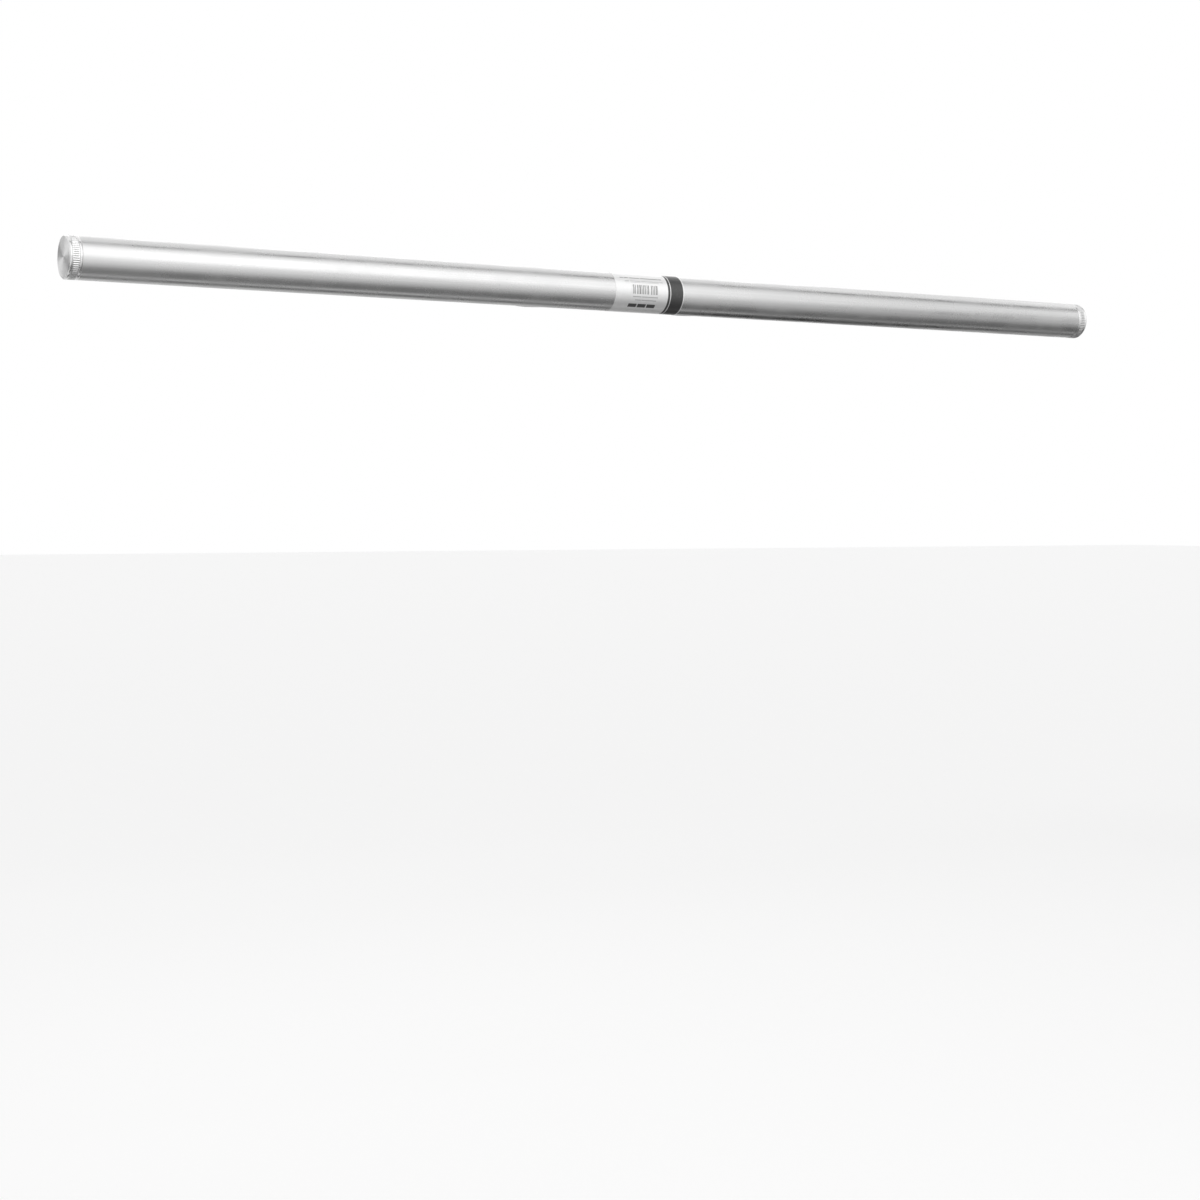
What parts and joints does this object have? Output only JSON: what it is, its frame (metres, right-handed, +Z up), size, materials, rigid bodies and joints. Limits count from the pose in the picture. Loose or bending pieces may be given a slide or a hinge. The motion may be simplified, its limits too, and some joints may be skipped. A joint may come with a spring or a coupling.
{
  "type": "truss hanging pole",
  "caption": "Straight round aluminium pole with knurled end caps and hinged clamps on its back, for hanging stage lights beside a box truss.",
  "frame": {"origin": "the pole's axis at the middle of its length", "axes": "+X along the pole, -Y the front with the label, +Y the side with the clamps, +Z up along the truss chords"},
  "size_m": [1.524, 0.1212, 0.0504],
  "materials": {
    "tube_aluminium": "extruded, satin, with faint lengthwise draw lines",
    "turned_aluminium": "lathe turned, with a straight knurl and bright rims",
    "forged_aluminium": "forged and tumbled, matt",
    "plated_steel": "bright zinc plate",
    "seal_rubber": "smooth black",
    "label_film": "silver-white film with a black band and plain printed bars"
  },
  "bodies": {
    "pole": {"pole_tube": "tube_aluminium", "size_label": "label_film", "left_nut_block": "plated_steel", "right_nut_block": "plated_steel", "left_spacer": "forged_aluminium", "right_spacer": "forged_aluminium", "left_mounting_bolt": "plated_steel", "right_mounting_bolt": "plated_steel", "left_lock_washer": "plated_steel", "right_lock_washer": "plated_steel", "left_saddle": "forged_aluminium", "right_saddle": "forged_aluminium", "left_hinge_pin": "plated_steel", "right_hinge_pin": "plated_steel", "left_swing_pin": "plated_steel", "right_swing_pin": "plated_steel"},
    "left_jaw": {"left_jaw": "forged_aluminium"},
    "right_jaw": {"right_jaw": "forged_aluminium"},
    "left_swing_bolt": {"left_swing_bolt": "plated_steel"},
    "right_swing_bolt": {"right_swing_bolt": "plated_steel"},
    "left_washer": {"left_washer": "plated_steel"},
    "right_washer": {"right_washer": "plated_steel"},
    "left_wing_nut": {"left_wing_nut": "plated_steel"},
    "right_wing_nut": {"right_wing_nut": "plated_steel"},
    "left_cap_seal": {"left_cap_seal": "seal_rubber"},
    "right_cap_seal": {"right_cap_seal": "seal_rubber"},
    "left_end_cap": {"left_end_cap": "turned_aluminium"},
    "right_end_cap": {"right_end_cap": "turned_aluminium"}
  },
  "joints": [
    {"name": "left_jaw_hinge", "type": "hinge", "parent": "pole", "child": "left_jaw", "pos_m": [-0.0845, 0.065, 0], "axis": [0, 0, -1], "range_deg": [0, 130]},
    {"name": "right_jaw_hinge", "type": "hinge", "parent": "pole", "child": "right_jaw", "pos_m": [0.0845, 0.065, 0], "axis": [0, 0, 1], "range_deg": [0, 130]},
    {"name": "left_bolt_swing", "type": "hinge", "parent": "pole", "child": "left_swing_bolt", "pos_m": [-0.16, 0.056, 0], "axis": [0, 0, 1], "range_deg": [-60, 40]},
    {"name": "right_bolt_swing", "type": "hinge", "parent": "pole", "child": "right_swing_bolt", "pos_m": [0.16, 0.056, 0], "axis": [0, 0, -1], "range_deg": [-60, 40]},
    {"name": "left_washer_slide", "type": "slide", "parent": "left_swing_bolt", "child": "left_washer", "axis": [-0.866, 0.5, 0], "range_m": [0, 0.014]},
    {"name": "right_washer_slide", "type": "slide", "parent": "right_swing_bolt", "child": "right_washer", "axis": [0.866, 0.5, 0], "range_m": [0, 0.014]},
    {"name": "left_nut_turn", "type": "hinge", "parent": "left_washer", "child": "left_wing_nut", "pos_m": [-0.16, 0.056, 0], "axis": [-0.866, 0.5, 0], "range_deg": [0, 4030]},
    {"name": "right_nut_turn", "type": "hinge", "parent": "right_washer", "child": "right_wing_nut", "pos_m": [0.16, 0.056, 0], "axis": [0.866, 0.5, 0], "range_deg": [0, 4030]},
    {"name": "left_cap_travel", "type": "slide", "parent": "pole", "child": "left_cap_seal", "axis": [-1, 0, 0], "range_m": [0, 0.018]},
    {"name": "right_cap_travel", "type": "slide", "parent": "pole", "child": "right_cap_seal", "axis": [1, 0, 0], "range_m": [0, 0.018]},
    {"name": "left_cap_turn", "type": "hinge", "parent": "left_cap_seal", "child": "left_end_cap", "pos_m": [-0.762, 0, 0], "axis": [-1, 0, 0], "range_deg": [0, 4318]},
    {"name": "right_cap_turn", "type": "hinge", "parent": "right_cap_seal", "child": "right_end_cap", "pos_m": [0.762, 0, 0], "axis": [1, 0, 0], "range_deg": [0, 4318]}
  ],
  "couplings": [
    {"joint": "left_washer_slide", "follows": "left_nut_turn", "m_per_rad": 0.00019894},
    {"joint": "right_washer_slide", "follows": "right_nut_turn", "m_per_rad": 0.00019894},
    {"joint": "left_cap_travel", "follows": "left_cap_turn", "m_per_rad": 0.00023873},
    {"joint": "right_cap_travel", "follows": "right_cap_turn", "m_per_rad": 0.00023873}
  ]
}
